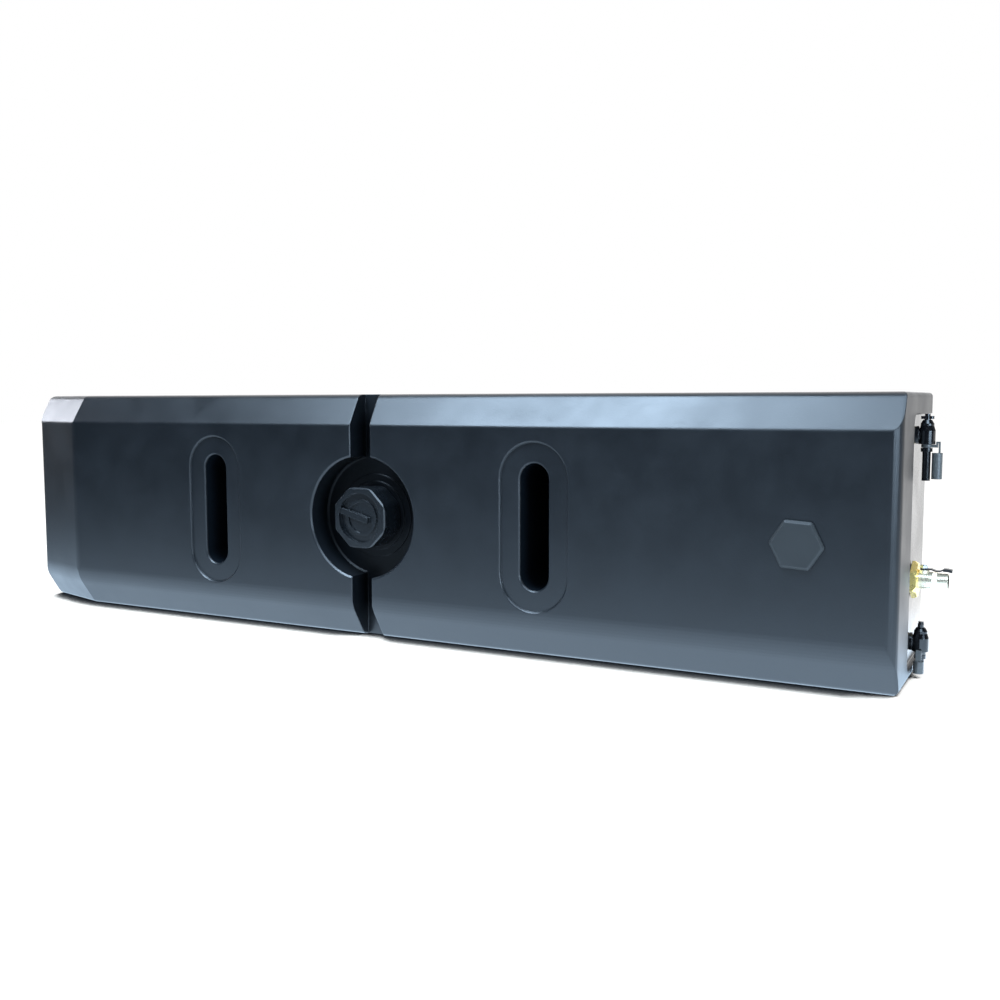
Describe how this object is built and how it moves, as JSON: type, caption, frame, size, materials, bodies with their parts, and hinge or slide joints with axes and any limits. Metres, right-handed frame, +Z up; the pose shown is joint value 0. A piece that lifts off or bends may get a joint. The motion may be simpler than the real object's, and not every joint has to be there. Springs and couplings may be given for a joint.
{
  "type": "vehicle water tank",
  "caption": "Long hollow moulded tank with a screw filler cap in a round recess, upright through slots for mounting, taps and a ball valve at one end.",
  "frame": {"origin": "centre of the shell's flat bottom, on the surface that it stands on", "axes": "+X along the tank towards the end with the fittings, -Y out of the front face with the filler, +Z up"},
  "size_m": [0.8743, 0.153, 0.208],
  "materials": {
    "tank_plastic": "satin black moulding with a fine pebble",
    "cap_plastic": "smooth satin black",
    "seal_rubber": "matte black rubber",
    "badge_plastic": "matte dark grey, bare",
    "tap_plastic": "glossy black",
    "dust_cap_plastic": "soft glossy black",
    "brass": "polished brass",
    "plated_ball": "polished plating",
    "seat_plastic": "smooth white",
    "steel": "bright steel",
    "lever_paint": "black coating",
    "sleeve_vinyl": "soft black sleeve"
  },
  "bodies": {
    "tank": {"tank_shell": "tank_plastic", "hex_badge": "badge_plastic", "upper_tap_insert": "brass", "upper_tap_washer": "seal_rubber", "upper_tap_body": "tap_plastic", "upper_tap_bonnet": "tap_plastic", "lower_tap_insert": "brass", "lower_tap_washer": "seal_rubber", "lower_tap_body": "tap_plastic", "lower_tap_bonnet": "tap_plastic", "valve_insert": "brass", "valve_washer": "seal_rubber", "valve_body": "brass", "valve_end_piece": "brass", "valve_seat_inner": "seat_plastic", "valve_seat_outer": "seat_plastic", "valve_packing": "seat_plastic", "valve_gland": "brass"},
    "cap_seal": {"cap_gasket": "seal_rubber"},
    "cap": {"filler_cap": "cap_plastic"},
    "upper_plug": {"upper_tap_plug": "tap_plastic", "upper_tap_plug_ring": "seal_rubber"},
    "lower_plug": {"lower_tap_plug": "tap_plastic", "lower_tap_plug_ring": "seal_rubber"},
    "upper_dust_cap": {"upper_tap_dust_cap": "dust_cap_plastic"},
    "lower_dust_cap": {"lower_tap_dust_cap": "dust_cap_plastic"},
    "lever": {"valve_lever": "lever_paint", "valve_lever_sleeve": "sleeve_vinyl", "valve_lever_nut": "steel", "valve_stem": "steel", "valve_ball": "plated_ball"}
  },
  "joints": [
    {"name": "cap_rise", "type": "slide", "parent": "tank", "child": "cap_seal", "axis": [0, -1, 0], "range_m": [0, 0.012]},
    {"name": "cap_turn", "type": "hinge", "parent": "cap_seal", "child": "cap", "pos_m": [-0.008, -0.06, 0.104], "axis": [0, -1, 0], "range_deg": [0, 720]},
    {"name": "upper_tap_turn", "type": "hinge", "parent": "tank", "child": "upper_plug", "pos_m": [0.4291, 0.013, 0.177], "axis": [0, 0, -1], "range_deg": [-90, 0]},
    {"name": "lower_tap_turn", "type": "hinge", "parent": "tank", "child": "lower_plug", "pos_m": [0.4291, 0.013, 0.025], "axis": [0, 0, -1], "range_deg": [0, 90]},
    {"name": "upper_dust_cap_swivel", "type": "hinge", "parent": "tank", "child": "upper_dust_cap", "pos_m": [0.4291, 0.013, 0.165], "axis": [0, 0, 1], "range_deg": [-90, 90]},
    {"name": "lower_dust_cap_swivel", "type": "hinge", "parent": "tank", "child": "lower_dust_cap", "pos_m": [0.4291, 0.013, 0.013], "axis": [0, 0, 1], "range_deg": [0, 180]},
    {"name": "lever_turn", "type": "hinge", "parent": "tank", "child": "lever", "pos_m": [0.4298, 0.013, 0.079], "axis": [0, 0, 1], "range_deg": [-90, 0]}
  ],
  "couplings": [
    {"joint": "cap_rise", "follows": "cap_turn", "m_per_rad": 0.00095492}
  ]
}
